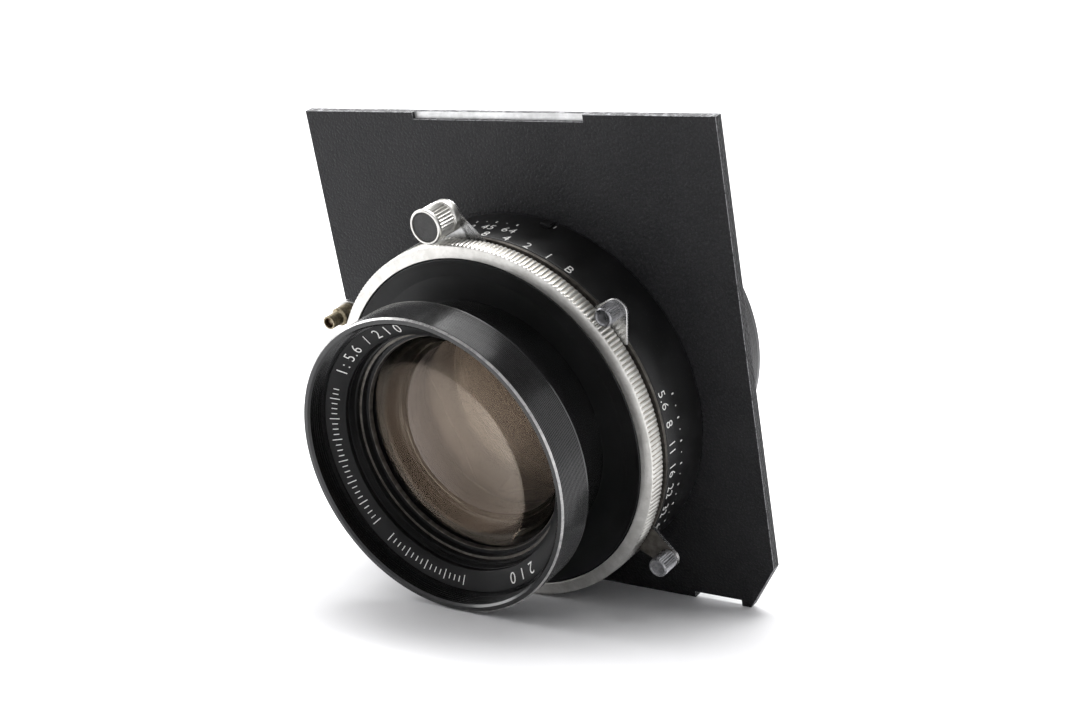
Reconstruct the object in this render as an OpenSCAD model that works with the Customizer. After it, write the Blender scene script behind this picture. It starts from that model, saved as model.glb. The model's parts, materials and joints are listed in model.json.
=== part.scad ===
// Large-format taking lens in a leaf shutter, fastened to a flat lens board.
// It stands as it is put down on a table: front rim and bottom edge of the board touch z = 0,
// so the optical axis points towards -Y and down. Sub-parts are drawn in the lens frame:
// x to the right, y up along the board, z forward along the optical axis, z = 0 at the board's face.
// Angles called "clock" run clockwise from the top, seen from the front.

/* [Lens board] */
// Width of the lens board
board_w = 96; // [92:0.5:104]
// Height of the lens board
board_h = 99; // [96:0.5:108]
// Thickness of the lens board
board_t = 2; // [1.5:0.1:2.5]
// Distance of the optical axis from the bottom edge of the board
axis_from_bottom = 42.5; // [41:0.5:46]

/* [Shutter] */
// Outer radius of the shutter drum and of the knurled ring
drum_r = 36.9; // [36.6:0.1:37.4]
// Travel of the aperture ring from the widest to the smallest opening, degrees
aperture_travel = 51.8; // [30:0.1:52]
// Number of iris blades
iris_count = 10; // [10:1:10]
// Number of shutter blades
shutter_count = 5; // [5:1:5]
// How far the iris blades reach into the bore at rest, degrees of blade rotation
iris_rest = 2.5; // [0.5:0.5:4]
// How far the open shutter blades stay turned into the bore, degrees
shutter_rest = 2; // [0.5:0.5:4]

/* [Lens cells] */
// Outer radius of the front rim
rim_r = 30; // [29.5:0.1:30.5]
// Distance of the front rim from the face of the board
rim_z = 37.6; // [37:0.1:40]
// Radius of the filter thread
filter_r = 28.45; // [28.3:0.05:28.6]
// Outer radius of the rear cell
rear_r = 32; // [31:0.1:33]
// Distance of the rear rim from the face of the board
rear_z = 32; // [29:0.1:34]

/* [Levers] */
// Clock angle of the cocking lever at rest
cock_clock = -5.3; // [-8:0.1:0]
// Clock angle of the release lever
release_clock = 51; // [48:0.1:54]
// Clock angle of the aperture lever at the widest opening
aperture_clock = 127; // [124:0.5:130]
// Clock angle of the flash contact
sync_clock = -63; // [-68:0.5:-58]
// Clock angle of the cable release socket
cable_clock = -105; // [-115:1:-95]
// Radius of the cable release thread
cable_r = 1.75; // [1.7:0.05:1.8]

/* [Hidden] */
$fn = 96;
tilt = atan((axis_from_bottom - rim_r) / rim_z);
axis_z = axis_from_bottom * cos(tilt);
front_y = -(rim_z * cos(tilt) + rim_r * sin(tilt));
back_y = rear_z * cos(tilt) + rear_r * sin(tilt);
stand_y = -(front_y + back_y) / 2;

gap = 0.05;
board_top = board_h - axis_from_bottom;
board_hole_r = 20.9;
neck_r = 20.4;
spigot_r = 18.6;
drum_wall = 2.3;
drum_top = 13.0;
mech_z = 10.2;
hub_r = 25.4;
hub_top = 15.75;
thread_r = 19.8;
bore_r = 16.9;
plate_r = 34.1;
ring_front = 18.3;
lever_r = 41.3;
aperture_lever_r = 42.4;
release_knob_r = 39.2;
sync_r = 40.4;
seat_depth = 0.1;
root_depth = 0.2;
release_pivot_r = 31.4;

seat_r = 27.8;
iris_pivot_r = 26.4;
iris_in = 17.0;
iris_out = 24.6;
iris_span = 150;
iris_z = 2.5;
iris_step = 0.25;
iris_t = 0.12;
shutter_pivot_r = 24.5;
shutter_swing = 45;
shutter_z = 5.4;
shutter_step = 0.35;
shutter_t = 0.18;
pin_r = 0.6;
cable_z = 6.5;
drive_r = 33.3;
drive_clock = 150;
gear_m = 0.5;
gear_teeth = 16;
pinion_teeth = 8;
gear_r0 = 29.2;
gear_clock = 105;

// ---- helpers ----

// Puts the lens frame into the standing pose.
module stand() {
    translate([0, stand_y, axis_z]) rotate([90 + tilt, 0, 0]) children();
}

// Places a child at a clock angle, a radius and a distance from the board.
module at_clock(clock, r, z) {
    rotate([0, 0, -clock]) translate([0, r, z]) children();
}

// Flat ring between two heights.
module tube(r_out, r_in, z0, z1) {
    translate([0, 0, z0]) difference() {
        cylinder(r = r_out, h = z1 - z0);
        translate([0, 0, -1]) cylinder(r = r_in, h = z1 - z0 + 2);
    }
}

// Body of revolution about the optical axis from a profile of [radius, z] points.
module turned(profile) {
    rotate_extrude() polygon(profile);
}

function polar(r, clock) = [r * sin(clock), r * cos(clock)];

// Sector of a disc between two clock angles, as a polygon.
module sector(r, clock0, clock1, steps = 24) {
    polygon(concat([[0, 0]], [for (i = [0:steps]) polar(r, clock0 + (clock1 - clock0) * i / steps)]));
}

// Lens element: a disc cut by two spheres. A positive radius bulges outwards, a negative one is hollow.
module element(r, front, front_radius, back, back_radius) {
    difference() {
        intersection() {
            translate([0, 0, back - 12]) cylinder(r = r, h = front - back + 24);
            face_ball(front, front_radius, -1);
            face_ball(back, back_radius, 1);
        }
        if (front_radius < 0) translate([0, 0, front - front_radius]) sphere(r = -front_radius);
        if (back_radius < 0) translate([0, 0, back + back_radius]) sphere(r = -back_radius);
    }
}

// Keeps the glass side of a bulging face, or one side of a generous box for a hollow or flat one.
module face_ball(vertex, radius, side) {
    if (radius > 0) {
        translate([0, 0, vertex + side * radius]) sphere(r = radius);
    } else {
        reach = radius == 0 ? 0 : 12;
        translate([0, 0, side > 0 ? vertex - reach + 50 : vertex + reach - 50]) cube(100, center = true);
    }
}

// Flat lever arm: a rounded head, a wider shoulder at the edge of the rings and a root inside them.
module lever_plate(head_at, head_r, shoulder_half, root_at, root_half, z, t) {
    translate([0, 0, z]) linear_extrude(t) hull() {
        translate([0, head_at]) circle(r = head_r, $fn = 32);
        polygon([polar(37, -shoulder_half), polar(37, shoulder_half),
            polar(root_at, root_half), polar(root_at, -root_half)]);
    }
}

// ---- board ----

notch_w = 10.5;
notch_h = 1.3;
notch_x = 34.55;
corner_w = 6.2;
corner_h = 9.5;
rabbet_w = 40;
rabbet_h = 1.4;
rabbet_t = 0.8;

module lens_board() {
    low = -axis_from_bottom;
    half = board_w / 2;
    stand() color([0.08, 0.08, 0.085]) difference() {
        translate([0, 0, -board_t]) linear_extrude(board_t) polygon([
            [-half + corner_w, low], [half - corner_w, low], [half, low + corner_h],
            [half, board_top], [-half, board_top], [-half, low + corner_h]]);
        translate([0, 0, -board_t - 1]) cylinder(r = board_hole_r, h = board_t + 2);
        // Turned seat round the hole, for the rib and the retaining ring
        translate([0, 0, -board_t - 1]) cylinder(r = 38, h = 1 + seat_depth);
        translate([-rabbet_w / 2, board_top - rabbet_h, -rabbet_t]) cube([rabbet_w, rabbet_h + 1, 2]);
        for (side = [-1, 1])
            translate([side * notch_x - notch_w / 2, low - 1, -board_t - 1])
                cube([notch_w, notch_h + 1, board_t + 2]);
    }
}

module light_trap_rib() {
    stand() color([0.09, 0.09, 0.09]) tube(37.5, 35, -board_t - 1.6, -board_t + seat_depth);
}

module shutter_retaining_ring() {
    stand() color([0.12, 0.12, 0.12]) difference() {
        tube(25, neck_r + gap, -board_t - 2.6, -board_t + seat_depth);
        for (side = [0, 180])
            rotate([0, 0, side + 90]) translate([22.2, -1.25, -board_t - 3]) cube([4, 2.5, 1.6]);
    }
}

// ---- shutter, fixed pieces ----

module shutter_housing() {
    stand() color([0.07, 0.07, 0.075]) {
        difference() {
            turned([[spigot_r + gap, -6.4], [neck_r, -6.4], [neck_r, 0], [drum_r - 0.4, 0], [drum_r, 0.4],
                [drum_r, drum_top - 0.2], [drum_r - 0.2, drum_top], [35.25, drum_top],
                [35.25, mech_z], [drum_r - drum_wall, mech_z], [drum_r - drum_wall, 1.2],
                [bore_r, 1.2], [bore_r, 0.9], [spigot_r + gap, 0.9]]);
            cable_axis() translate([0, 0, 30]) cylinder(r = 1.7, h = 20);
        }
        for (i = [0:iris_count - 1])
            at_clock(i * 360 / iris_count, iris_pivot_r, 1.2 - root_depth)
                cylinder(r = pin_r, h = 3.9 + root_depth);
    }
}

module mechanism_plate() {
    stand() color([0.2, 0.2, 0.2]) {
        difference() {
            turned([[thread_r + gap, mech_z], [35.2, mech_z], [35.2, drum_top], [hub_r, drum_top],
                [hub_r, hub_top], [thread_r + gap, hub_top]]);
            // Arc slot for the aperture drive pin
            translate([0, 0, mech_z - 1]) linear_extrude(5) difference() {
                sector(drive_r + 1.0, drive_clock - 3, drive_clock + aperture_travel + 3);
                circle(r = drive_r - 1.0);
            }
        }
        for (i = [0:shutter_count - 1])
            at_clock(i * 360 / shutter_count, shutter_pivot_r, shutter_z - 0.1)
                cylinder(r = pin_r, h = mech_z - shutter_z + 0.1 + root_depth);
        // Post of the main spring and arbors of the slow-speed train
        at_clock(-32, 31, 8.6) cylinder(r = 0.9, h = mech_z - 8.6 + root_depth);
        at_clock(gear_clock, gear_r0, 8.6) cylinder(r = pin_r, h = mech_z - 8.6 + root_depth);
        at_clock_pinion() cylinder(r = pin_r, h = mech_z - 8.6 + root_depth);
    }
}

module front_plate() {
    stand() color([0.06, 0.06, 0.065]) {
        turned([[thread_r + gap, hub_top], [plate_r, hub_top], [plate_r, 17.9], [plate_r - 0.3, 18.2],
            [plate_r - 0.9, 18.0], [30.5, 17.5], [25.6, 17.35], [thread_r + gap, 17.35]]);
        // Pivot of the release lever
        at_clock(release_clock, release_pivot_r, 13.88) cylinder(r = 0.9, h = hub_top - 13.88 + root_depth);
    }
}

module index_tab() {
    stand() color([0.06, 0.06, 0.06]) at_clock(15.5, drum_r, 2.3)
        translate([-1.1, 0, -1.1]) cube([2.2, 0.7, 2.2]);
}

module sync_bracket() {
    stand() color([0.55, 0.55, 0.56]) rotate([0, 0, -sync_clock]) difference() {
        hull() {
            translate([0, sync_r, 11.4]) cylinder(r = 2.4, h = 1.0, $fn = 32);
            translate([-3.4, 37.0, 11.4]) cube([6.8, 0.6, 1.0]);
        }
        translate([0, sync_r, 10]) cylinder(r = 1.3, h = 4);
    }
}

module sync_socket() {
    stand() color([0.58, 0.54, 0.42]) at_clock(sync_clock, sync_r, 0) difference() {
        turned([[1.05, 12.4], [1.9, 12.4], [1.9, 15.2], [1.4, 15.5], [1.4, 18.4], [1.05, 18.4]]);
    }
}

module sync_insulator() {
    stand() color([0.3, 0.2, 0.12]) at_clock(sync_clock, sync_r, 0)
        tube(1.0, 0.4, 12.4, 17.4);
}

module sync_contact() {
    stand() color([0.8, 0.7, 0.4]) at_clock(sync_clock, sync_r, 11.4) cylinder(r = 0.35, h = 6.3);
}

// Radial frame at the cable release, z outwards from the optical axis.
module cable_axis() {
    at_clock(cable_clock, 0, cable_z) rotate([-90, 0, 0]) children();
}

module cable_release_socket() {
    stand() color([0.75, 0.75, 0.76]) cable_axis() difference() {
        union() {
            translate([0, 0, drum_r]) cylinder(r = 2.6, h = 6.2);
            translate([0, 0, drum_r - drum_wall]) cylinder(r = 1.65, h = drum_wall + 0.1);
        }
        translate([0, 0, 30]) cylinder(r = 0.7, h = 10);
        translate([0, 0, 38.6]) cylinder(r = 1.5, h = 10);
        translate([0, 0, 40.8]) cylinder(r = cable_r, h = 10);
    }
}

module cable_plunger() {
    stand() color([0.75, 0.75, 0.76]) cable_axis() translate([0, 0, drum_r - drum_wall - 0.6]) {
        cylinder(r = 0.62, h = 6.2);
        translate([0, 0, 5.95]) cylinder(r = 1.2, h = 0.6);
    }
}

// ---- rings and levers ----

module speed_ring() {
    stand() color([0.8, 0.8, 0.79])
        turned([[33.1, 14.62], [36.5, 14.62], [drum_r, 14.9], [drum_r, 17.65], [36.6, ring_front - 0.25],
            [plate_r + 0.1, ring_front], [plate_r + gap, ring_front - 0.1], [plate_r + gap, 15.65], [33.1, 15.65]]);
}

module aperture_ring() {
    stand() color([0.16, 0.15, 0.14]) {
        tube(drum_r - 0.05, 26, 13.12, 13.8);
        rotate([0, 0, -aperture_clock]) lever_plate(aperture_lever_r, 2.0, 5, 34, 6.5, 13.12, 0.68);
    }
}

module aperture_lever_knob() {
    stand() color([0.7, 0.7, 0.7]) at_clock(aperture_clock, aperture_lever_r, 0)
        turned([[0, 13.8], [1.9, 13.8], [1.9, 17.8], [1.7, 18.0], [0, 18.0]]);
}

module aperture_drive_pin() {
    stand() color([0.7, 0.7, 0.7]) at_clock(drive_clock, drive_r, 2.12) cylinder(r = 0.7, h = 10.98);
}

module iris_cam_ring() {
    stand() color([0.5, 0.45, 0.3]) union() {
        tube(32.2, 27.7, 1.4, 2.1);
        translate([0, 0, 1.4]) linear_extrude(0.7) difference() {
            sector(34.3, drive_clock - 4, drive_clock + 4);
            circle(r = 32);
        }
    }
}

// Crescent blade at its fully open place, pivot at the top.
module iris_outline() {
    difference() {
        union() {
            difference() {
                sector(iris_out, -3, iris_span, 48);
                circle(r = iris_in);
            }
            translate([0, iris_pivot_r]) circle(r = 1.5);
            polygon([[-1.4, iris_pivot_r], [1.4, iris_pivot_r], [2.4, 22.5], [-1.1, 22.5]]);
        }
        translate([0, iris_pivot_r]) circle(r = pin_r + gap);
    }
}

// Rotation that closes a blade by an angle about its own pivot at the top.
module about_pivot(pivot_r, clockwise) {
    translate([0, pivot_r]) rotate([0, 0, -clockwise]) translate([0, -pivot_r]) children();
}

module iris_blade(i) {
    stand() color([0.1, 0.1, 0.11]) rotate([0, 0, -i * 360 / iris_count])
        translate([0, 0, iris_z + i * iris_step]) linear_extrude(iris_t)
            about_pivot(iris_pivot_r, iris_rest) iris_outline();
}

module blade_ring() {
    stand() color([0.5, 0.5, 0.5]) tube(31, 26, 7.5, 8.3);
}

// Wedge blade at its closed place, pivot at the top. The round bite clears the bore when it is open.
module shutter_outline() {
    bite = [shutter_pivot_r * sin(shutter_swing), shutter_pivot_r * (1 - cos(shutter_swing))];
    difference() {
        intersection() {
            union() {
                sector(18.4, -75, 8);
                translate([0, shutter_pivot_r]) circle(r = 1.6);
                polygon([[-1.6, shutter_pivot_r], [1.6, shutter_pivot_r], [1.6, 16], [-4, 16]]);
            }
            translate(bite) circle(r = 32.3);
        }
        translate(bite) circle(r = bore_r - 0.5);
        translate([0, shutter_pivot_r]) circle(r = pin_r + gap);
    }
}

module shutter_blade(i) {
    stand() color([0.13, 0.13, 0.14]) rotate([0, 0, -i * 360 / shutter_count])
        translate([0, 0, shutter_z + i * shutter_step]) linear_extrude(shutter_t)
            about_pivot(shutter_pivot_r, shutter_swing - shutter_rest) shutter_outline();
}

module cocking_lever() {
    stand() color([0.75, 0.75, 0.74]) {
        tube(29, hub_r + 0.3, 13.9, 14.5);
        rotate([0, 0, -cock_clock]) lever_plate(lever_r, 3.1, 8.6, 28, 9, 13.9, 0.6);
    }
}

module cocking_knob() {
    stand() color([0.78, 0.78, 0.76]) at_clock(cock_clock, lever_r, 0)
        turned([[0, 14.5], [3.3, 14.5], [3.4, 14.7], [3.4, 15.7], [3.1, 16.0], [3.25, 20.2], [3.45, 20.4],
            [3.45, 20.9], [3.2, 21.2], [2.9, 21.2], [2.9, 20.6], [0, 20.6]]);
}

module cocking_knob_cap() {
    stand() color([0.09, 0.09, 0.09]) at_clock(cock_clock, lever_r, 20.6) cylinder(r = 2.85, h = 0.4);
}

module release_lever() {
    stand() color([0.75, 0.75, 0.75]) rotate([0, 0, -release_clock]) difference() {
        translate([0, 0, 13.92]) linear_extrude(0.56) hull() {
            translate([0.4, 39.6]) circle(r = 2.4, $fn = 32);
            translate([0, release_pivot_r]) circle(r = 2.0, $fn = 32);
            polygon([[-2.8, 36.4], [6.3, 36.6], [0, 33]]);
        }
        translate([0, release_pivot_r, 13]) cylinder(r = 0.95, h = 3);
    }
}

module release_knob() {
    stand() color([0.72, 0.72, 0.72]) at_clock(release_clock, release_knob_r, 0)
        turned([[0, 14.48], [1.85, 14.48], [1.85, 17.8], [1.65, 18.0], [0, 18.0]]);
}

// ---- springs and slow-speed train ----

// Coil drawn as closed turns of round wire.
module coil(r, wire, turns, z0) {
    for (i = [0:turns - 1])
        translate([0, 0, z0 + wire + i * 2 * wire]) rotate_extrude() translate([r, 0]) circle(r = wire);
}

module main_spring() {
    stand() color([0.6, 0.6, 0.6]) at_clock(-32, 31, 0) coil(1.7, 0.22, 3, 8.75);
}

module release_spring() {
    stand() color([0.6, 0.6, 0.6]) at_clock(release_clock, release_pivot_r, 0) coil(1.25, 0.2, 2, 14.55);
}

// Spur gear outline with plain trapezoid teeth and generous backlash.
module gear_outline(teeth, module_mm, turn) {
    pitch_r = teeth * module_mm / 2;
    half = 360 / teeth / 4;
    root = pitch_r - 1.1 * module_mm;
    tip = pitch_r + 0.8 * module_mm;
    rotate([0, 0, turn]) polygon([for (i = [0:teeth - 1]) for (q = [[root, -1.25], [tip, -0.42],
        [tip, 0.42], [root, 1.25]]) let (a = i * 360 / teeth + q[1] * half) [q[0] * cos(a), q[0] * sin(a)]]);
}

gear_pitch_sum = (gear_teeth + pinion_teeth) * gear_m / 2;

module at_clock_pinion() {
    rotate([0, 0, -gear_clock]) translate([gear_pitch_sum, gear_r0, 8.6]) children();
}

module retard_gear() {
    stand() color([0.7, 0.6, 0.35]) rotate([0, 0, -gear_clock]) translate([0, gear_r0, 8.9]) difference() {
        linear_extrude(1.0) gear_outline(gear_teeth, gear_m, 0);
        translate([0, 0, -1]) cylinder(r = pin_r + gap, h = 3);
    }
}

module retard_pinion() {
    stand() color([0.7, 0.6, 0.35]) at_clock_pinion() difference() {
        translate([0, 0, 0.3]) linear_extrude(1.0) gear_outline(pinion_teeth, gear_m, 180 / pinion_teeth);
        cylinder(r = pin_r + gap, h = 3);
    }
}

module retard_wheel() {
    stand() color([0.6, 0.6, 0.6]) at_clock_pinion() tube(1.9, pin_r + gap, 0, 0.25);
}

// ---- front cell ----

module front_barrel() {
    stand() color([0.1, 0.1, 0.105]) turned([
        [16.4, 10.5], [thread_r, 10.5], [thread_r, 17.35], [hub_r, 17.35], [hub_r, 28.4],
        [rim_r - 0.6, 28.9], [rim_r, 29.3], [rim_r, rim_z - 0.35], [rim_r - 0.35, rim_z],
        [filter_r + 0.4, rim_z], [filter_r, rim_z - 0.4], [filter_r, 33.65], [seat_r, 33.65], [seat_r, 32.2],
        [25.4, 31.0], [25.4, 26.0],
        [22.7, 26.0], [22.7, 22.8], [19.3, 22.8], [19.3, 16.5], [17.1, 16.5], [17.1, 11.0], [16.4, 11.0]]);
}

module name_ring() {
    stand() color([0.05, 0.05, 0.055]) turned([
        [seat_r - gap, 32.3], [seat_r - gap, 33.6], [24.3, 31.6], [24.3, 30.6], [25.3, 31.0]]);
}

module front_baffle_ring() {
    stand() color([0.05, 0.05, 0.05]) turned([
        [25.35, 26.02], [25.35, 30.9], [24.3, 30.5], [24.0, 29.3], [23.6, 29.3], [23.6, 28.2], [23.0, 28.2],
        [23.0, 27.0], [22.2, 27.0], [22.0, 26.02]]);
}

module front_glass_outer() {
    stand() color([0.75, 0.7, 0.62, 0.4]) element(22.6, 30.4, 46, 22.8, 0);
}

module front_glass_middle() {
    stand() color([0.75, 0.7, 0.62, 0.4]) element(19.2, 22.75, 0, 20.6, -48);
}

module front_spacer() {
    stand() color([0.05, 0.05, 0.05]) tube(17.05, 16.2, 13.35, 16.45);
}

module front_glass_inner() {
    stand() color([0.75, 0.7, 0.62, 0.4]) element(17.0, 17.4, 34, 13.8, -55);
}

// ---- rear cell ----

module rear_barrel() {
    stand() color([0.08, 0.08, 0.085]) turned([
        [16.15, 0.6], [spigot_r, 0.6], [spigot_r, -6.5], [23.6, -6.5], [24, -6.9], [24, -12],
        [27.5, -14.5], [rear_r - 0.4, -17.6], [rear_r, -18], [rear_r, -rear_z + 0.3], [rear_r - 0.3, -rear_z],
        [29.6, -rear_z], [29.2, -rear_z + 0.4], [28.2, -25], [25.6, -22], [25.6, -17.6], [24.1, -17.5],
        [24.1, -15], [20.1, -15], [20.1, -8.0], [15.4, -7.0], [15.4, -1.6], [16.15, -1.6]]);
}

module rear_glass_inner() {
    stand() color([0.75, 0.7, 0.62, 0.4]) element(16.0, -1.7, -55, -5.2, 34);
}

module rear_spacer() {
    stand() color([0.05, 0.05, 0.05]) tube(16.05, 15.45, 0.75, 1.1);
}

module rear_glass_middle() {
    stand() color([0.75, 0.7, 0.62, 0.4]) element(20.0, -12.6, -48, -14.95, 0);
}

module rear_glass_outer() {
    stand() color([0.75, 0.7, 0.62, 0.4]) element(24.0, -15.0, 0, -24.6, 44);
}

module rear_retainer() {
    stand() color([0.06, 0.06, 0.06]) difference() {
        turned([[24.15, -17.65], [25.5, -17.65], [25.5, -21.6], [23.2, -21.6], [22.9, -20.4], [22.9, -19.0],
            [23.6, -17.9]]);
        for (side = [0, 180])
            rotate([0, 0, side]) translate([23.6, -0.8, -22]) cube([3, 1.6, 1.2]);
    }
}

// ---- nodes ----

lens_board();
light_trap_rib();
shutter_retaining_ring();
shutter_housing();
mechanism_plate();
front_plate();
index_tab();
sync_bracket();
sync_socket();
sync_insulator();
sync_contact();
cable_release_socket();
cable_plunger();
speed_ring();
aperture_ring();
aperture_lever_knob();
aperture_drive_pin();
iris_cam_ring();
iris_blade(0);  // iris_blade_0
iris_blade(1);  // iris_blade_1
iris_blade(2);  // iris_blade_2
iris_blade(3);  // iris_blade_3
iris_blade(4);  // iris_blade_4
iris_blade(5);  // iris_blade_5
iris_blade(6);  // iris_blade_6
iris_blade(7);  // iris_blade_7
iris_blade(8);  // iris_blade_8
iris_blade(9);  // iris_blade_9
blade_ring();
shutter_blade(0);  // shutter_blade_0
shutter_blade(1);  // shutter_blade_1
shutter_blade(2);  // shutter_blade_2
shutter_blade(3);  // shutter_blade_3
shutter_blade(4);  // shutter_blade_4
cocking_lever();
cocking_knob();
cocking_knob_cap();
release_lever();
release_knob();
main_spring();
release_spring();
retard_gear();
retard_pinion();
retard_wheel();
front_barrel();
name_ring();
front_baffle_ring();
front_glass_outer();
front_glass_middle();
front_spacer();
front_glass_inner();
rear_barrel();
rear_glass_inner();
rear_spacer();
rear_glass_middle();
rear_glass_outer();
rear_retainer();
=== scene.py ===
"""Taking lens in a leaf shutter on a flat lens board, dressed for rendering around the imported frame.

Lengths in this script are millimetres in the lens frame: x to the right, y up along the board,
z forward along the optical axis, z = 0 at the board's face. "Clock" angles are degrees, clockwise
from the top, seen from the front. Meshes are turned into the row frame's metres when they are made.
"""
import json
import math

import bmesh
import bpy
from mathutils import Matrix, Quaternion, Vector
from mathutils.geometry import tessellate_polygon

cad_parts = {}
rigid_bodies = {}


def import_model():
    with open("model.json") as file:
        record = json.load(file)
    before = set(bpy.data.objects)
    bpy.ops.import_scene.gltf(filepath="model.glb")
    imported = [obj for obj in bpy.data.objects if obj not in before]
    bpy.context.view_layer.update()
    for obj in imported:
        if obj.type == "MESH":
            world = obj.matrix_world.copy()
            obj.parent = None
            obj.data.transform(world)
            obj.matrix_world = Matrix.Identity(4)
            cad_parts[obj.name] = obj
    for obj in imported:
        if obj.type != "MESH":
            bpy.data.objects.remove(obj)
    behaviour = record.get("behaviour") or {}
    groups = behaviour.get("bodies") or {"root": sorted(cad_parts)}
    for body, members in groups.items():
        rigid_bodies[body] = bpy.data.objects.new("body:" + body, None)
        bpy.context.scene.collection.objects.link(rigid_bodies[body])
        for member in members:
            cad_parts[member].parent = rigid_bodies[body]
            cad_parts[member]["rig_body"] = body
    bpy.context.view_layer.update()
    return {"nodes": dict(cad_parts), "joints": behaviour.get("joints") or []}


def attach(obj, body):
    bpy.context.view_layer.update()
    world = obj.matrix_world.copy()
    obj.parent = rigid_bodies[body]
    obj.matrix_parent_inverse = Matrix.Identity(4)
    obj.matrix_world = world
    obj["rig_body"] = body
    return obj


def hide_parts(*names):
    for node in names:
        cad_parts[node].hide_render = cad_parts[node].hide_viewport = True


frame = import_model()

MM = 0.001
TURN = 2 * math.pi

# ---------------------------------------------------------------- lens frame

SPEED_AXIS_Z = 16.0  # how far forward of the board the speed ring's joint point lies


def lens_frame():
    """Matrix from lens-frame millimetres to row-frame metres, from the speed ring's axis."""
    joint = next(j for j in frame["joints"] if j["name"] == "speed_turn")
    forward = -Vector(joint["axis"]).normalized()
    right = Vector((1, 0, 0))
    up = forward.cross(right)
    origin = Vector(joint["pos_m"]) - forward * SPEED_AXIS_Z * MM
    turn = Matrix((right, up, forward)).transposed().to_4x4()
    return Matrix.Translation(origin) @ turn @ Matrix.Scale(MM, 4)


LENS = lens_frame()
TO_LENS = LENS.inverted()


def polar(radius, clock, z=0.0):
    """Point at a radius and a clock angle."""
    angle = math.radians(clock)
    return Vector((radius * math.sin(angle), radius * math.cos(angle), z))


def extent(node):
    """Inner radius, outer radius, lowest and highest z of a CAD node in the lens frame."""
    points = [TO_LENS @ v.co for v in frame["nodes"][node].data.vertices]
    radii = [math.hypot(p.x, p.y) for p in points]
    heights = [p.z for p in points]
    return min(radii), max(radii), min(heights), max(heights)


# ---------------------------------------------------------------- camera, floor and light

VIEW_AZIMUTH = 35.54
VIEW_HEIGHT = 6.67
VIEW_ROLL = 1.476
VIEW_DISTANCE = 0.35956
VIEW_AIM = Vector((3.43, 7.763, 3.411))  # in the lens frame
FOCAL_LENGTH = 61.416


def make_camera():
    data = bpy.data.cameras.new("camera")
    data.sensor_width = 36
    data.lens = FOCAL_LENGTH
    data.clip_start = 0.01
    data.clip_end = 20
    camera = bpy.data.objects.new("camera", data)
    azimuth = math.radians(VIEW_AZIMUTH)
    height = math.radians(VIEW_HEIGHT)
    back = Vector((
        math.sin(azimuth) * math.cos(height),
        -math.cos(azimuth) * math.cos(height),
        math.sin(height),
    ))
    camera.location = LENS @ VIEW_AIM + back * VIEW_DISTANCE
    camera.rotation_mode = "QUATERNION"
    roll = Quaternion((0, 0, 1), math.radians(VIEW_ROLL))
    camera.rotation_quaternion = (-back).to_track_quat("-Z", "Y") @ roll
    bpy.context.scene.collection.objects.link(camera)
    bpy.context.scene.camera = camera


def make_cove():
    """Pale floor that curves up into a wall all round, so no horizon shows from any side."""
    flat, bend, wall = 1.5, 0.7, 1.6
    profile = [(0.0, 0.0), (0.4, 0.0), (flat, 0.0)]
    for i in range(1, 13):
        angle = math.radians(90 * i / 12)
        profile.append((flat + bend * math.sin(angle), bend * (1 - math.cos(angle))))
    profile.append((flat + bend, wall))
    mesh = bmesh.new()
    steps = 64
    rings = []
    for radius, z in profile:
        ring = [
            mesh.verts.new((radius * math.cos(TURN * i / steps), radius * math.sin(TURN * i / steps), z))
            for i in range(steps)
        ]
        rings.append(ring)
    for low, high in zip(rings, rings[1:]):
        for i in range(steps):
            k = (i + 1) % steps
            mesh.faces.new((low[i], low[k], high[k], high[i]))
    bmesh.ops.remove_doubles(mesh, verts=mesh.verts, dist=1e-6)
    data = bpy.data.meshes.new("studio_floor")
    mesh.to_mesh(data)
    mesh.free()
    data.shade_smooth()
    floor = bpy.data.objects.new("studio_floor", data)
    bpy.context.scene.collection.objects.link(floor)
    paper = bpy.data.materials.new("pale_floor")
    paper.use_nodes = True
    shader = paper.node_tree.nodes["Principled BSDF"]
    shader.inputs["Base Color"].default_value = (0.86, 0.86, 0.87, 1)
    shader.inputs["Roughness"].default_value = 0.55
    shader.inputs["Specular IOR Level"].default_value = 0.15
    data.materials.append(paper)


def area_light(name, place, aim, size, power, colour=(1, 1, 1)):
    data = bpy.data.lights.new(name, "AREA")
    data.shape = "RECTANGLE"
    data.size, data.size_y = size
    data.energy = power
    data.color = colour
    light = bpy.data.objects.new(name, data)
    light.location = place
    light.rotation_mode = "QUATERNION"
    light.rotation_quaternion = (Vector(aim) - Vector(place)).to_track_quat("-Z", "Y")
    bpy.context.scene.collection.objects.link(light)


def make_lights():
    world = bpy.data.worlds.new("studio")
    world.use_nodes = True
    background = world.node_tree.nodes["Background"]
    background.inputs["Color"].default_value = (1, 1, 1, 1)
    background.inputs["Strength"].default_value = 0.4
    bpy.context.scene.world = world
    area_light("top_softbox", (-0.10, 0.25, 1.1), (0, 0, 0.03), (0.9, 0.9), 11)
    area_light("left_softbox", (-0.95, -0.35, 0.55), (0, 0, 0.05), (0.6, 0.8), 6)
    area_light("backdrop_wash", (0.0, 0.3, 1.5), (0.0, 2.2, 0.3), (2.4, 0.6), 40)
    area_light("backdrop_left", (-0.8, 0.3, 1.3), (-1.5, 1.4, 0.0), (1.0, 0.6), 18)


# ---------------------------------------------------------------- materials


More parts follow.
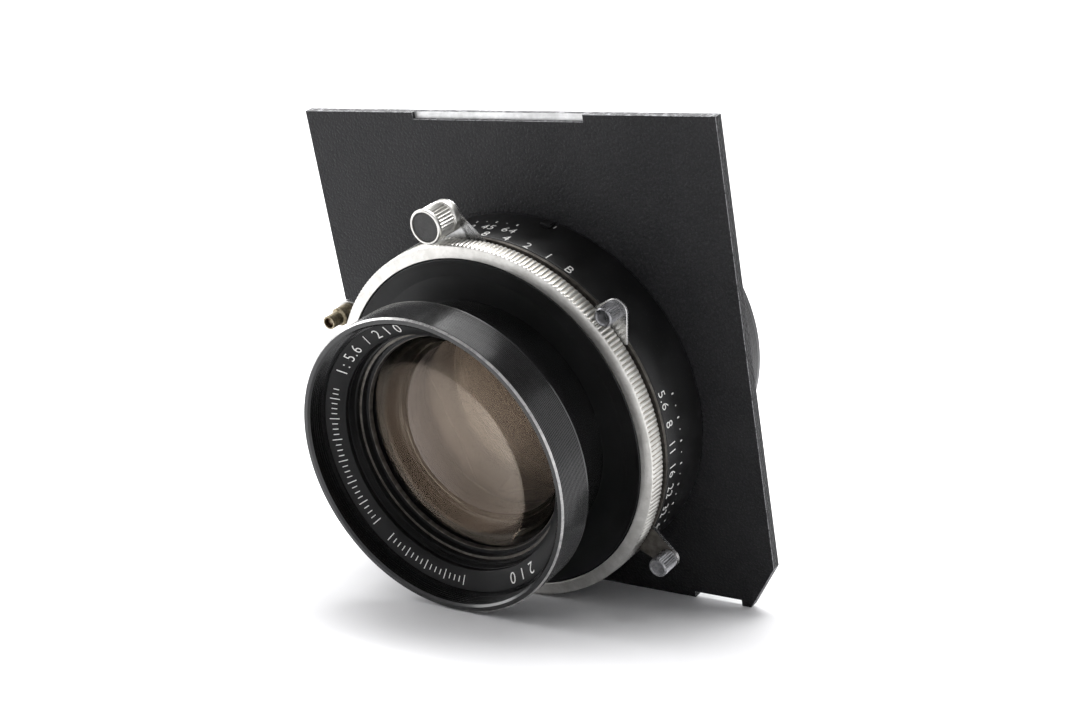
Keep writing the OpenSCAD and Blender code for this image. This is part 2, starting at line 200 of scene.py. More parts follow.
class Surface:
    """A node material. Object coordinates reach its textures as lens-frame millimetres."""

    def __init__(self, name):
        self.material = bpy.data.materials.new(name)
        self.material.use_nodes = True
        self.tree = self.material.node_tree
        self.shader = self.tree.nodes["Principled BSDF"]
        self._place = None

    def node(self, kind, settings=None, **inputs):
        made = self.tree.nodes.new(kind)
        for key, value in (settings or {}).items():
            setattr(made, key, value)
        for key, value in inputs.items():
            self.plug(made.inputs[key.replace("_", " ")], value)
        return made

    def plug(self, socket, value):
        if isinstance(value, bpy.types.NodeSocket):
            self.tree.links.new(value, socket)
        else:
            socket.default_value = value

    def place(self):
        if self._place is None:
            coordinates = self.node("ShaderNodeTexCoord")
            mapping = self.node("ShaderNodeMapping", Vector=coordinates.outputs["Object"])
            location, turn, scale = TO_LENS.decompose()
            mapping.inputs["Location"].default_value = location
            mapping.inputs["Rotation"].default_value = turn.to_euler()
            mapping.inputs["Scale"].default_value = scale
            self._place = mapping.outputs["Vector"]
        return self._place

    def rings(self, stretch=0.02):
        """Coordinates that vary with radius and height but hardly round the axis."""
        parts = self.node("ShaderNodeSeparateXYZ", Vector=self.place())
        squares = [
            self.node("ShaderNodeMath", {"operation": "MULTIPLY"}).outputs[0] for _ in range(2)
        ]
        for product, axis in zip(squares, ("X", "Y")):
            for socket in product.node.inputs[:2]:
                self.plug(socket, parts.outputs[axis])
        total = self.node("ShaderNodeMath", {"operation": "ADD"})
        self.plug(total.inputs[0], squares[0])
        self.plug(total.inputs[1], squares[1])
        radius = self.node("ShaderNodeMath", {"operation": "SQRT"})
        self.plug(radius.inputs[0], total.outputs[0])
        round_axis = self.node("ShaderNodeMath", {"operation": "MULTIPLY"})
        self.plug(round_axis.inputs[0], parts.outputs["X"])
        round_axis.inputs[1].default_value = stretch
        joined = self.node(
            "ShaderNodeCombineXYZ", X=radius.outputs[0], Y=parts.outputs["Z"], Z=round_axis.outputs[0]
        )
        return joined.outputs["Vector"]

    def noise(self, size, detail=3.0, rough=0.6, where=None, stretch=None):
        """Noise whose features are about `size` millimetres, from 0 to 1."""
        vector = where or self.place()
        if stretch:
            vector = self.node("ShaderNodeMapping", Vector=vector).outputs["Vector"]
            vector.node.inputs["Scale"].default_value = stretch
        made = self.node("ShaderNodeTexNoise", Vector=vector, Scale=1 / size, Detail=detail, Roughness=rough)
        return made.outputs["Fac"]

    def spread(self, value, low, high, start=0.35, end=0.65):
        """Maps value from start..end onto low..high."""
        made = self.node("ShaderNodeMapRange", Value=value)
        for name, number in (("From Min", start), ("From Max", end), ("To Min", low), ("To Max", high)):
            made.inputs[name].default_value = number
        return made.outputs["Result"]

    def blend(self, share, low, high):
        """Colour from low to high, each a colour or a socket."""
        made = self.node("ShaderNodeMix", {"data_type": "RGBA"})
        self.plug(made.inputs[0], share)
        for socket, value in ((made.inputs[6], low), (made.inputs[7], high)):
            self.plug(socket, value if isinstance(value, bpy.types.NodeSocket) else (*value, 1))
        return made.outputs[2]

    def relief(self, *layers):
        """Bump from pairs of (height socket, depth in millimetres)."""
        normal = None
        for height, depth in layers:
            made = self.node("ShaderNodeBump", Height=height, Distance=depth * MM, Strength=1.0)
            if normal is not None:
                self.plug(made.inputs["Normal"], normal)
            normal = made.outputs["Normal"]
        self.plug(self.shader.inputs["Normal"], normal)

    def set(self, **values):
        for key, value in values.items():
            self.plug(self.shader.inputs[key.replace("_", " ")], value)
        return self


def board_paint():
    """Matt black paint with a fine grain, a little greyer where it is rubbed."""
    s = Surface("board_paint")
    grain = s.noise(0.55, detail=2)
    patches = s.noise(14, detail=4)
    rubs = s.spread(s.noise(1.6, detail=6, rough=0.7), 0, 0.6, 0.64, 0.80)
    base = s.blend(s.spread(patches, 0, 1), (0.007, 0.007, 0.008), (0.012, 0.012, 0.013))
    base = s.blend(s.spread(grain, 0, 0.5, 0.45, 0.75), base, (0.040, 0.040, 0.042))
    base = s.blend(rubs, base, (0.060, 0.060, 0.062))
    s.set(Base_Color=base, Roughness=s.spread(grain, 0.40, 0.62), Specular_IOR_Level=0.22)
    s.relief((grain, 0.22), (s.noise(1.1), 0.10))
    return s.material


def worn_edge(name, start, end):
    """Edge of the board: black paint broken through to bare aluminium."""
    s = Surface(name)
    chips = s.spread(s.noise(1.1, detail=8, rough=0.75), 0, 1, start, end)
    grit = s.noise(0.25)
    metal = s.blend(s.spread(grit, 0, 1), (0.22, 0.22, 0.23), (0.52, 0.52, 0.53))
    s.set(Base_Color=s.blend(chips, (0.014, 0.014, 0.015), metal), Metallic=chips)
    s.set(Roughness=s.spread(grit, 0.35, 0.6))
    s.relief((chips, -0.02), (grit, 0.015))
    return s.material


def bare_aluminium():
    """Milled aluminium of the rabbet, dulled and scratched."""
    s = Surface("bare_aluminium")
    fine = s.noise(0.35, stretch=(0.15, 1, 1))
    tarnish = s.noise(3.0, detail=5)
    s.set(Base_Color=s.blend(s.spread(tarnish, 0, 1), (0.55, 0.55, 0.55), (0.78, 0.78, 0.78)))
    s.set(Metallic=0.85, Roughness=s.spread(fine, 0.35, 0.55))
    s.relief((fine, 0.01))
    return s.material


def black_lacquer(name, tone=0.012, rough=(0.26, 0.42), grain=0.3, depth=0.006, dust=0.35, gloss=0.5):
    """Black lacquer with a little dust in its grain."""
    s = Surface(name)
    fine = s.noise(grain, detail=3)
    broad = s.noise(6, detail=4)
    specks = s.spread(s.noise(0.35, detail=1), 0, dust, 0.66, 0.78)
    base = s.blend(s.spread(broad, 0, 1), (tone * 0.75,) * 3, (tone * 1.3, tone * 1.3, tone * 1.35))
    s.set(Base_Color=s.blend(specks, base, (0.10, 0.10, 0.10)))
    s.set(Roughness=s.spread(broad, *rough), Specular_IOR_Level=gloss)
    s.relief((fine, depth))
    return s.material


def turned_black(name, tone=0.011, rough=(0.16, 0.32), depth=0.004, gloss=0.5):
    """Black anodising over a turned surface: faint rings round the axis."""
    s = Surface(name)
    lathe = s.noise(0.12, detail=2, where=s.rings())
    broad = s.noise(7, detail=4)
    specks = s.spread(s.noise(0.5, detail=2), 0, 0.12, 0.70, 0.80)
    base = s.blend(s.spread(broad, 0, 1), (tone * 0.8,) * 3, (tone * 1.3, tone * 1.3, tone * 1.35))
    s.set(Base_Color=s.blend(specks, base, (0.09, 0.09, 0.09)))
    s.set(Roughness=s.spread(lathe, *rough), Specular_IOR_Level=gloss)
    s.relief((lathe, depth))
    return s.material


def satin_metal(name, low, high, rough=(0.22, 0.38), turned=True, depth=0.003, grime=0.0):
    """Plated metal with fine turning marks or brush lines, and grime in patches."""
    s = Surface(name)
    lines = s.noise(0.10, detail=2, where=s.rings() if turned else None)
    smudge = s.noise(2.5, detail=5)
    base = s.blend(s.spread(smudge, 0, 1), low, high)
    if grime:
        spots = s.spread(s.noise(0.8, detail=6, rough=0.7), 0, grime, 0.56, 0.72)
        base = s.blend(spots, base, (0.16, 0.14, 0.11))
    s.set(Base_Color=base, Metallic=1.0, Roughness=s.spread(lines, *rough))
    s.relief((lines, depth))
    return s.material


def mottled(name, low, high, metallic, rough, size=0.6, depth=0.004):
    """Plain mottled finish for small parts."""
    s = Surface(name)
    spots = s.noise(size, detail=5)
    s.set(Base_Color=s.blend(s.spread(spots, 0, 1), low, high), Metallic=metallic)
    s.set(Roughness=s.spread(s.noise(size * 3), *rough))
    s.relief((spots, depth))
    return s.material


def coated_glass(name, tint, ior):
    """Optical glass with a warm single coating."""
    s = Surface(name)
    base = s.blend(s.spread(s.noise(9), 0, 1), tint, tuple(0.985 * c for c in tint))
    s.set(Base_Color=base, Roughness=0.0, Transmission_Weight=1.0, IOR=ior)
    s.set(Specular_Tint=(0.50, 0.38, 0.30, 1))
    return s.material


MATERIALS = {
    "board": board_paint(),
    "board_edge": worn_edge("board_worn_edge", 0.50, 0.62),
    "board_arris": worn_edge("board_worn_arris", 0.40, 0.50),
    "aluminium": bare_aluminium(),
    "drum": black_lacquer("shutter_lacquer", tone=0.008, rough=(0.30, 0.45), dust=0.3, gloss=0.3),
    "plate": turned_black("front_plate_black", tone=0.007, rough=(0.30, 0.44), gloss=0.25),
    "barrel": turned_black("barrel_anodised", tone=0.006, rough=(0.12, 0.24), gloss=0.6),
    "ring_black": turned_black("name_ring_black", tone=0.006, rough=(0.30, 0.42), gloss=0.16),
    "baffle": turned_black("baffle_black", tone=0.005, rough=(0.25, 0.40), gloss=0.2),
    "rear": turned_black("rear_barrel_anodised", tone=0.010, rough=(0.20, 0.34)),
    "silver": satin_metal("silver_satin", (0.56, 0.55, 0.52), (0.72, 0.71, 0.68), (0.30, 0.44), grime=0.2),
    # Darker, rougher silver for the knurl's groove bottoms: painted shade in the grooves.
    "silver_groove_shade": satin_metal("silver_painted_groove_shade", (0.26, 0.24, 0.20), (0.44, 0.42, 0.37), rough=(0.4, 0.6)),
    "steel": satin_metal("polished_steel", (0.38, 0.38, 0.38), (0.58, 0.58, 0.57), (0.18, 0.32), False,
                         0.003, 0.35),
    "dark_steel": mottled("dulled_steel", (0.20, 0.20, 0.21), (0.34, 0.34, 0.35), 1.0, (0.22, 0.4), 0.8),
    "brass": mottled("aged_brass", (0.15, 0.125, 0.08), (0.36, 0.31, 0.22), 1.0, (0.3, 0.5)),
    "gear_brass": mottled("gear_brass", (0.60, 0.45, 0.18), (0.78, 0.62, 0.30), 1.0, (0.25, 0.4)),
    "blade": mottled("blade_black", (0.030, 0.027, 0.024), (0.055, 0.05, 0.045), 0.7, (0.28, 0.42), 3.0),
    "spring": mottled("spring_steel", (0.45, 0.46, 0.50), (0.62, 0.62, 0.64), 1.0, (0.2, 0.35)),
    "cap": mottled("knob_cap_black", (0.010, 0.010, 0.010), (0.022, 0.021, 0.020), 0.0, (0.35, 0.55), 0.4),
    "insulator": mottled("insulator_brown", (0.08, 0.04, 0.02), (0.14, 0.08, 0.04), 0.0, (0.35, 0.5)),
    # Grey of the aperture ring's lip; on the front baffle's step edges the same grey is a painted highlight.
    "lip": mottled("lever_lip_grey_and_baffle_edge_highlight", (0.075, 0.068, 0.060), (0.14, 0.13, 0.115), 0.8, (0.35, 0.5), 1.2),
    # White print of the figures; the same white also draws a painted highlight on the index tab.
    "white": mottled("white_print_and_tab_highlight", (0.66, 0.66, 0.64), (0.86, 0.86, 0.84), 0.0, (0.4, 0.6), 0.3, 0.01),
    # Grey metal for the front rim's chamfer: a painted highlight along the rim.
    "rim_highlight_grey": mottled("rim_chamfer_painted_highlight", (0.30, 0.30, 0.30), (0.48, 0.47, 0.46), 0.9, (0.2, 0.35), 1.0),
    "glass_warm": coated_glass("coated_glass", (0.93, 0.875, 0.80), 1.60),
    "glass_clear": coated_glass("coated_glass_inner", (0.96, 0.93, 0.89), 1.55),
}

# ---------------------------------------------------------------- mesh helpers


class Shape:
    """Points and faces of one mesh in the lens frame; each face has a material number."""

    def __init__(self):
        self.points = []
        self.faces = []
        self.paint = []

    def add(self, points, faces, paint=0):
        start = len(self.points)
        self.points += [Vector(p) for p in points]
        self.faces += [tuple(start + i for i in face) for face in faces]
        self.paint += [paint] * len(faces) if isinstance(paint, int) else list(paint)
        return self

    def lathe(self, profile, steps=192, closed=True, paint=0, place=None, wobble=None):
        """Turns a profile of (radius, z) points round the axis. paint may be a list with one number per
        profile segment; wobble(step, index, radius) changes a radius; place moves the finished points."""
        count = len(profile)
        points = []
        for k in range(steps):
            angle = TURN * k / steps
            for i, (radius, z) in enumerate(profile):
                r = wobble(k, i, radius) if wobble else radius
                points.append(Vector((r * math.sin(angle), r * math.cos(angle), z)))
        if place:
            points = [place @ p for p in points]
        segments = count if closed else count - 1
        faces, paints = [], []
        for k in range(steps):
            here, there = k * count, (k + 1) % steps * count
            for i in range(segments):
                j = (i + 1) % count
                faces.append((here + i, here + j, there + j, there + i))
                paints.append(paint if isinstance(paint, int) else paint[i])
        return self.add(points, faces, paints)

    def cylinder(self, radius, z0, z1, steps=32, place=None, paint=0, bevel=0.0):
        """Closed cylinder with chamfered ends."""
        inner = radius - bevel
        profile = [(0, z0), (inner, z0), (radius, z0 + bevel), (radius, z1 - bevel), (inner, z1), (0, z1)]
        return self.lathe(profile, steps, False, paint, place)

    def build(self, name, body, slot, materials, replaces=(), bevel=0.0, angle=32, segments=2):
        """Makes the piece, in row-frame metres, and lets it ride on its body."""
        data = bpy.data.meshes.new(name)
        data.from_pydata([LENS @ p for p in self.points], [], self.faces)
        for material in materials:
            data.materials.append(MATERIALS[material])
        data.polygons.foreach_set("material_index", self.paint)
        made = bmesh.new()
        made.from_mesh(data)
        bmesh.ops.remove_doubles(made, verts=made.verts, dist=1e-7)
        bmesh.ops.recalc_face_normals(made, faces=made.faces)
        made.to_mesh(data)
        made.free()
        return finish_piece(name, data, body, replaces, bevel, angle, segments)


def finish_piece(name, data, body, replaces, bevel, angle, segments):
    data.shade_smooth()
    data.set_sharp_from_angle(angle=math.radians(angle))
    piece = bpy.data.objects.new(name, data)
    bpy.context.scene.collection.objects.link(piece)
    if bevel:
        rounding = piece.modifiers.new("edge_rounding", "BEVEL")
        rounding.width = bevel * MM
        rounding.segments = segments
        rounding.limit_method = "ANGLE"
        rounding.angle_limit = math.radians(angle)
        rounding.miter_outer = "MITER_ARC"
        weighted = piece.modifiers.new("flat_faces_stay_flat", "WEIGHTED_NORMAL")
        weighted.keep_sharp = True
    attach(piece, body)
    if replaces:
        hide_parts(*replaces)
    return piece


def refined(node, materials, bevel=0.08, paint=None, name=None, angle=32, segments=2):
    """A finer copy of a CAD node with rounded edges. paint(centre, normal) picks a face's material."""
    source = frame["nodes"][node]
    body = source["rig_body"]
    data = source.data.copy()
    data.name = name or node + "_finished"
    made = bmesh.new()
    made.from_mesh(data)
    bmesh.ops.remove_doubles(made, verts=made.verts, dist=2e-6)
    bmesh.ops.dissolve_limit(made, angle_limit=math.radians(0.6), verts=made.verts, edges=made.edges)
    bmesh.ops.recalc_face_normals(made, faces=made.faces)
    turn = TO_LENS.to_3x3() * MM
    for face in made.faces:
        centre = TO_LENS @ face.calc_center_median()
        face.material_index = paint(centre, turn @ face.normal) if paint else 0
    data.materials.clear()
    made.to_mesh(data)
    made.free()
    for material in materials:
        data.materials.append(MATERIALS[material])
    return finish_piece(data.name, data, body, (node,), bevel, angle, segments)


def dress(material, *nodes):
    """Gives CAD nodes that stay as they are a finish."""
    for node in nodes:
        data = frame["nodes"][node].data
        data.materials.clear()
        data.materials.append(MATERIALS[material])


def filleted(profile, radius, steps=3, closed=True):
    """Profile with its corners rounded off."""
    made = []
    count = len(profile)
    for i, corner in enumerate(profile):
        if not closed and i in (0, count - 1):
            made.append(tuple(corner))
            continue
        here = Vector(corner)
        before = Vector(profile[i - 1]) - here
        after = Vector(profile[(i + 1) % count]) - here
        cut = min(radius, before.length * 0.4, after.length * 0.4)
        start = here + before.normalized() * cut
        end = here + after.normalized() * cut
        for k in range(steps + 1):
            t = k / steps
            point = start * (1 - t) ** 2 + here * 2 * t * (1 - t) + end * t**2
            made.append((point.x, point.y))
    return made


def ridged(radius, z0, z1, count, depth, inward=False):
    """Profile points of fine grooves between two heights."""
    pitch = (z1 - z0) / count
    sign = 1 if inward else -1
    points = []
    for i in range(count):
        base = z0 + i * pitch
        points += [(radius, base + 0.12 * pitch), (radius, base + 0.52 * pitch)]
        points += [(radius + sign * depth, base + 0.68 * pitch), (radius + sign * depth, base + 0.92 * pitch)]
    return points


# ---------------------------------------------------------------- figures


def glyphs(text, height, weight=-0.016):
    """Outline mesh of some figures, centred, with digits `height` millimetres tall: (points, faces)."""
    curve = bpy.data.curves.new("figure", "FONT")
    curve.body = text
    curve.size = height / 0.73
    curve.align_x = "CENTER"
    curve.resolution_u = 3
    curve.extrude = 0.03
    curve.offset = weight * height
    curve.space_character = 1.08
    holder = bpy.data.objects.new("figure", curve)
    bpy.context.scene.collection.objects.link(holder)
    bpy.context.view_layer.update()
    mesh = bpy.data.meshes.new_from_object(holder.evaluated_get(bpy.context.evaluated_depsgraph_get()))
    points = [Vector((v.co.x, v.co.y - height / 2, v.co.z)) for v in mesh.vertices]
    faces = [tuple(p.vertices) for p in mesh.polygons]
    bpy.data.objects.remove(holder)
    bpy.data.curves.remove(curve)
    bpy.data.meshes.remove(mesh)
    return points, faces


def on_drum(points, radius, clock, z):
    """Bends flat figures round the drum; their tops point to the board."""
    bent = []
    for p in points:
        angle = clock + math.degrees(p.x / radius)
        bent.append(polar(radius + p.z, angle, z - p.y))
    return bent


def on_cone(points, radius, clock, z, lean):
    """Bends figures round the sloping face of a ring; their tops point outwards."""
    bent = []
    for p in points:
        r = radius + p.y * math.cos(lean) - p.z * math.sin(lean)
        angle = clock + math.degrees(p.x / radius)
        bent.append(polar(r, angle, z + p.y * math.sin(lean) + p.z * math.cos(lean)))
    return bent


# ---------------------------------------------------------------- board


def make_board():
    hole, _, low, _ = extent("lens_board")

    def paint(centre, normal):
        if abs(normal.z) > 0.9:
            return 2 if low < centre.z - 0.4 and centre.z < -0.4 else 0
        return 3 if normal.y > 0.9 and math.hypot(centre.x, centre.y) > hole + 1 else 0

    finishes = ["board", "board_arris", "aluminium", "board_edge"]
    piece = refined("lens_board", finishes, 0.22, paint, "board_plate", segments=3)
    piece.modifiers["edge_rounding"].material = 1


# ---------------------------------------------------------------- shutter

RING_TEETH = 240
SAMPLES = 4


def make_speed_ring():
    r_in, r_out, z0, z1 = extent("speed_ring")
    lip = 34.15
    crest = r_out
    profile = filleted([
        (r_in, z0), (crest - 0.4, z0), (crest, z0 + 0.28), (crest - 0.18, z1 - 0.55),
        (crest - 0.42, z1 - 0.22),
        (lip + 0.1, z1), (lip, z1 - 0.12), (lip, z0 + 1.03), (r_in, z0 + 1.03)], 0.07, 2)
    toothed = [i for i, (r, z) in enumerate(profile) if r > crest - 0.36 and z0 + 0.1 < z < z1 - 0.24]
    depth = 0.15

    def wobble(step, index, radius):
        if index in toothed and step % SAMPLES < 2:
            return radius - depth
        return radius

    shape = Shape().lathe(profile, RING_TEETH * SAMPLES, wobble=wobble)
    count = len(profile)
    tooth_faces = [i for i in range(count) if i in toothed and (i + 1) % count in toothed]
    # Each groove bottom between the teeth takes the darker silver (material 1): painted shade in the knurl
    # grooves.
    for k in range(RING_TEETH * SAMPLES):
        if k % SAMPLES == 0:
            for i in tooth_faces:
                shape.paint[k * count + i] = 1
    shape.build("speed_ring_knurled", "speed_ring", "silver_satin", ["silver", "silver_groove_shade"],
                ["speed_ring"], angle=28)


def make_drum():
    _, drum_r, _, top = extent("shutter_housing")
    shape = Shape().lathe(filleted([
        (18.65, -6.4), (20.4, -6.4), (20.4, 0), (drum_r - 0.4, 0), (drum_r, 0.4), (drum_r, top - 0.2),
        (drum_r - 0.2, top), (35.25, top), (35.25, 10.2), (34.6, 10.2), (34.6, 1.2), (16.9, 1.2),
        (16.9, 0.9), (18.65, 0.9)], 0.12, 2), 256)
    for i in range(10):
        shape.cylinder(0.6, 1.1, 5.1, 16, Matrix.Translation(polar(26.4, i * 36)))
    shape.build("shutter_body", "lens_unit", "shutter_black", ["drum"], ["shutter_housing"])
    return drum_r


SPEEDS = ["125", "60", "30", "15", "8", "4", "2", "1", "B"]
STOPS = ["5.6", "8", "11", "16", "22", "32", "45", "64"]
PITCH = 7.4


def make_scales(drum_r):
    """White figures and dots round the drum: speeds, and two aperture scales; also a white strip on the index
    tab that is a painted highlight.
    """
    shape = Shape()

    def figure(text, clock, z, height=2.15):
        points, faces = glyphs(text, height)
        shape.add(on_drum(points, drum_r + 0.01, clock, z), faces)

    def dot(clock, z, radius):
        place = Matrix.Rotation(-math.radians(clock), 4, "Z") @ Matrix.Translation((0, drum_r, z))
        place = place @ Matrix.Rotation(-math.pi / 2, 4, "X")
        shape.cylinder(radius, -0.05, 0.035, 12, place)

    def stroke(clock0, clock1, z0, z1, lift=0.0):
        surface = drum_r + lift
        rows = [polar(surface + dr, c, z) for c in (clock0, clock1) for z in (z0, z1) for dr in (-0.05, 0.04)]
        shape.add(rows, [(0, 1, 3, 2), (4, 6, 7, 5), (0, 4, 5, 1), (2, 3, 7, 6), (1, 5, 7, 3), (0, 2, 6, 4)])

    def mark(clock, z, full):
        if full:
            stroke(clock - 0.22, clock + 0.22, z - 0.3, z + 0.3)
        else:
            dot(clock, z, 0.13)

    for i, speed in enumerate(SPEEDS):
        figure(speed, 3.7 + (i - 4) * PITCH, 11.6)
    for i, stop in enumerate(STOPS):
        figure(stop, 8.4 + (i - 7) * PITCH, 8.3)
        figure(stop, 80.1 + i * PITCH, 11.3)
    for i in range(2 * len(STOPS) - 1):
        full = i % 2 == 0
        mark(80.2 + i * PITCH / 2, 8.25, full)
        mark(8.4 - i * PITCH / 2, 5.6, full)
    stroke(15.5 + 2.3, 15.5 + 2.6, 1.6, 2.6)
    # Thin white strip lifted 0.66 mm onto the index tab's top: a painted highlight on the tab's front edge.
    stroke(15.5 - 1.2, 15.5 + 1.2, 1.9, 2.15, 0.66)
    shape.build("shutter_scale_figures_and_tab_highlight", "lens_unit", None, ["white"])


def make_front_plate():
    r_in, r_out, z0, z1 = extent("front_plate")
    shape = Shape().lathe(filleted([
        (r_in, 15.75), (r_out, 15.75), (r_out, z1 - 0.3), (r_out - 0.3, z1), (r_out - 0.9, z1 - 0.2),
        (30.5, 17.5), (25.6, 17.35), (r_in, 17.35)], 0.08, 2), 256)
    shape.build("shutter_front_plate", "lens_unit", "shutter_black", ["plate"], ["front_plate"])


def knob_frame(node):
    """Frame of a knob: z along it, its origin on its axis at z = 0. Also its radius and heights."""
    points = [TO_LENS @ v.co for v in frame["nodes"][node].data.vertices]
    middle = [(min(p[i] for p in points) + max(p[i] for p in points)) / 2 for i in (0, 1)]
    radius = (max(p.x for p in points) - min(p.x for p in points)) / 2
    heights = [p.z for p in points]
    return Matrix.Translation((*middle, 0)), radius, min(heights), max(heights)


def ribbed(profile, ribbed_points, depth, teeth, place, steps_per_rib=6, paint=0):
    """Turned piece with axial ribs cut into the listed profile points."""
    def wobble(step, index, r):
        if index not in ribbed_points:
            return r
        return r - depth * (0.5 - 0.5 * math.cos(TURN * step / steps_per_rib))

    return Shape().lathe(profile, teeth * steps_per_rib, False, paint, place, wobble)


def make_cocking_knob():
    place, radius, low, high = knob_frame("cocking_knob")
    _, cap_radius, cap_low, cap_high = knob_frame("cocking_knob_cap")
    profile = filleted([
        (0, low), (radius - 0.15, low), (radius - 0.15, low + 1.3), (radius - 0.55, low + 1.5),
        (radius - 0.1, low + 1.9), (radius - 0.25, high - 0.95), (radius - 0.6, high - 0.85),
        (radius, high - 0.7), (radius, high - 0.15), (radius - 0.2, high), (cap_radius + 0.1, high),
        (cap_radius + 0.05, high - 0.55), (0, high - 0.55)], 0.05, 2, closed=False)
    sides = [i for i, (r, z) in enumerate(profile) if low + 1.8 < z < high - 0.92 and r > radius - 0.5]
    ribbed(profile, sides, 0.34, 30, place).build(
        "cocking_knob_knurled", "cocking_lever", "silver_satin", ["silver"], ["cocking_knob"], angle=40)
    Shape().cylinder(cap_radius, high - 0.6, cap_high, 48, place, bevel=0.1).build(
        "cocking_knob_disc", "cocking_lever", "knob_cap_black", ["cap"], ["cocking_knob_cap"])


def small_knob(node, body):
    """Knob of a lever: ribbed flank and a flat, slightly dished face."""
    place, radius, low, high = knob_frame(node)
    profile = filleted([
        (0, low), (radius, low), (radius, low + 0.3), (radius, high - 0.3), (radius - 0.22, high),
        (radius - 0.45, high), (radius - 0.6, high - 0.08), (0, high - 0.1)], 0.05, 2, closed=False)
    sides = [i for i, (r, z) in enumerate(profile) if r > radius - 0.02 and low + 0.2 < z < high - 0.2]
    ribbed(profile, sides, 0.2, 24, place).build(
        node + "_ribbed", body, "polished_steel", ["dark_steel"], [node], angle=40)


def make_levers():
    refined("cocking_lever", ["steel"], 0.12)
    refined("release_lever", ["steel"], 0.12)
    refined("aperture_ring", ["lip", "steel"], 0.1,
            lambda centre, normal: 1 if math.hypot(centre.x, centre.y) > 37.2 else 0)
    make_cocking_knob()
    small_knob("release_knob", "release_lever")
    small_knob("aperture_lever_knob", "aperture_control")


def make_sockets():
    refined("sync_bracket", ["steel"], 0.1)
    refined("sync_socket", ["brass"], 0.06)
    refined("cable_release_socket", ["steel"], 0.1)
    refined("index_tab", ["drum"], 0.12)
    dress("insulator", "sync_insulator")
    dress("brass", "sync_contact")
    dress("steel", "cable_plunger")


# ---------------------------------------------------------------- front cell


def make_front_barrel():
    _, rim_r, _, rim_z = extent("front_barrel")
    thread = 28.45
    outer = ridged(rim_r, 29.5, rim_z - 0.45, 20, 0.13)
    inner = list(reversed(ridged(thread, 33.75, rim_z - 0.55, 6, 0.26, True)))
    profile = [
        (16.4, 10.5), (19.8, 10.5), (19.8, 17.35), (25.4, 17.35), (25.4, 28.4), (rim_r - 0.6, 28.9),
        (rim_r, 29.3), *outer, (rim_r, rim_z - 0.35), (rim_r - 0.35, rim_z), (thread + 0.4, rim_z),
        (thread, rim_z - 0.4), *inner, (thread, 33.65), (27.8, 33.65), (27.8, 32.2), (25.4, 31.0),
        (25.4, 26.0), (22.7, 26.0), (22.7, 22.7), (19.3, 22.7), (19.3, 16.5), (17.1, 16.5), (17.1, 11.0),
        (16.4, 11.0)]
    paints = [0] * len(profile)
    # The outer chamfer at the front rim takes the grey metal (material 1): a painted highlight, the bright
    # edge ring round the front.
    chamfer = profile.index((rim_r, rim_z - 0.35))
    paints[chamfer] = 1
    Shape().lathe(profile, 256, paint=paints).build(
        "front_barrel_ridged", "lens_unit", "anodised_black", ["barrel", "rim_highlight_grey"], ["front_barrel"],
        angle=24)


RATIO_FIGURES = [("1", -54), (":", -50), ("5", -44.7), (".", -41.6), ("6", -38.3), ("/", -30.2), ("2", -23),
                 ("1", -17), ("0", -10.9)]


def make_name_ring():
    outer, face_z, inner, inner_z = 27.75, 33.6, 24.3, 31.6
    Shape().lathe(filleted([
        (outer, 32.3), (outer, face_z), (inner, inner_z), (inner, 30.6), (25.3, 31.0)], 0.08, 2), 256).build(
        "name_ring_turned", "lens_unit", "name_ring_black", ["ring_black"], ["name_ring"])
    lean = math.atan2(face_z - inner_z, outer - inner)
    middle = 26.2
    z = inner_z + (middle - inner) * math.tan(lean) + 0.01
    shape = Shape()

    def figure(text, clock, height=1.7):
        points, faces = glyphs(text, height)
        shape.add(on_cone(points, middle, clock, z, lean), faces)

    def tick(clock, length, width=0.16):
        half = width / 2
        points = [(x, y, h) for x in (-half, half) for y in (-length / 2, length / 2) for h in (-0.03, 0.03)]
        box = [(0, 1, 3, 2), (4, 6, 7, 5), (0, 4, 5, 1), (2, 3, 7, 6), (1, 5, 7, 3), (0, 2, 6, 4)]
        shape.add(on_cone([Vector(p) for p in points], middle, clock, z, lean), box)

    for letter, clock in RATIO_FIGURES:
        figure(letter, clock, 2.4)
    for i, letter in enumerate("210"):
        figure(letter, 142 + i * 6.2, 2.4)
    for first, last in ((-129, -64), (182, 222)):
        count = round((last - first) / 2.5)
        for i in range(count + 1):
            tick(first + (last - first) * i / count, 1.9 if i % 4 == 0 else 1.1)
    shape.build("name_ring_figures", "lens_unit", None, ["white"])


def make_baffle():
    profile = [
        (25.35, 26.02), (25.35, 30.9), (24.3, 30.5), (24.0, 29.3), (23.6, 29.3), (23.6, 28.2), (23.0, 28.2),
        (23.0, 27.0), (22.2, 27.0), (22.0, 26.02)]
    soft = filleted(profile, 0.1, 2)
    paints = [0] * len(soft)
    # The fillets at the steps r 23.6 and r 22.2 take the lighter grey (material 1): painted highlights, thin
    # bright circles on the black baffle.
    for i, (r, z) in enumerate(soft):
        if abs(r - 23.6) < 0.11 and 28.1 < z < 28.35 or abs(r - 22.2) < 0.12 and z > 26.8:
            paints[i] = 1
    Shape().lathe(soft, 192, paint=paints).build(
        "front_baffle_turned", "lens_unit", "anodised_black", ["baffle", "lip"], ["front_baffle_ring"])


# ---------------------------------------------------------------- glass


def cap_arc(vertex, curve, radius, bulge, steps=14):
    """Points of one face of a lens, from the axis to the rim. bulge is +1 where it faces forward."""
    points = []
    for i in range(steps + 1):
        r = radius * i / steps
        sag = 0 if curve == 0 else abs(curve) - math.sqrt(curve**2 - r**2)
        points.append((r, vertex - bulge * math.copysign(sag, curve)))
    return points


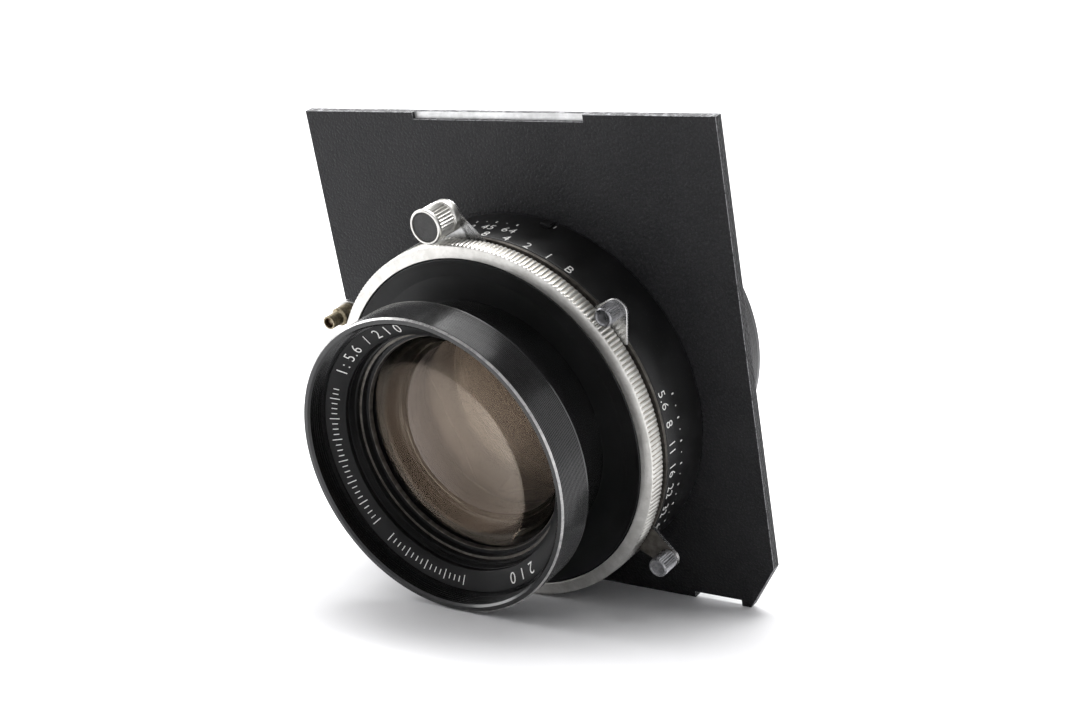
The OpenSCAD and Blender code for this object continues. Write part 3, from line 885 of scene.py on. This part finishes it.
def make_glass(node, material, radius, front, front_curve, back, back_curve):
    face = cap_arc(front, front_curve, radius, 1)
    rear = cap_arc(back, back_curve, radius, -1)
    profile = face + list(reversed(rear))
    Shape().lathe(profile, 128, False).build(node + "_polished", "lens_unit", "coated_glass", [material],
                                            [node], angle=40)


def make_glasses():
    make_glass("front_glass_outer", "glass_warm", 22.6, 30.4, 46, 22.8, 0)
    make_glass("front_glass_middle", "glass_clear", 19.2, 22.75, 0, 20.6, -48)
    make_glass("front_glass_inner", "glass_clear", 17.0, 17.4, 34, 13.8, -55)
    make_glass("rear_glass_inner", "glass_clear", 16.0, -1.7, -55, -5.2, 34)
    make_glass("rear_glass_middle", "glass_clear", 20.0, -12.6, -48, -14.95, 0)
    make_glass("rear_glass_outer", "glass_warm", 24.0, -15.0, 0, -24.6, 44)


# ---------------------------------------------------------------- rear cell


def make_rear():
    _, rear_r, low, _ = extent("rear_barrel")
    rear_z = -low
    grooves = list(reversed(ridged(rear_r, -rear_z + 1.2, -18.6, 26, 0.06)))
    Shape().lathe([
        (16.15, 0.6), (18.6, 0.6), (18.6, -6.5), (23.6, -6.5), (24, -6.9), (24, -12), (27.5, -14.5),
        (rear_r - 0.4, -17.6), (rear_r, -18), *grooves, (rear_r, -rear_z + 0.3), (rear_r - 0.3, -rear_z),
        (29.6, -rear_z), (29.2, -rear_z + 0.4), (28.2, -25), (25.6, -22), (25.6, -17.6), (24.1, -17.5),
        (24.1, -14.9), (20.1, -14.9), (20.1, -8.0), (15.4, -7.0), (15.4, -1.6), (16.15, -1.6)], 256).build(
        "rear_barrel_ridged", "lens_unit", "anodised_black", ["rear"], ["rear_barrel"], angle=24)
    refined("rear_retainer", ["rear"], 0.08)
    refined("shutter_retaining_ring", ["rear"], 0.1)
    refined("light_trap_rib", ["board"], 0.1)


# ---------------------------------------------------------------- inner pieces that stay as CAD


def dress_inner():
    dress("blade", *[f"iris_blade_{i}" for i in range(10)], *[f"shutter_blade_{i}" for i in range(5)])
    dress("gear_brass", "retard_gear", "retard_pinion", "retard_wheel")
    dress("spring", "main_spring", "release_spring", "aperture_drive_pin")
    dress("brass", "iris_cam_ring", "blade_ring")
    dress("baffle", "front_spacer", "rear_spacer", "mechanism_plate")


make_camera()
make_cove()
make_lights()
make_board()
DRUM_R = make_drum()
make_scales(DRUM_R)
make_front_plate()
make_speed_ring()
make_levers()
make_sockets()
make_front_barrel()
make_name_ring()
make_baffle()
make_glasses()
make_rear()
dress_inner()
bpy.context.scene.view_settings.view_transform = "Standard"
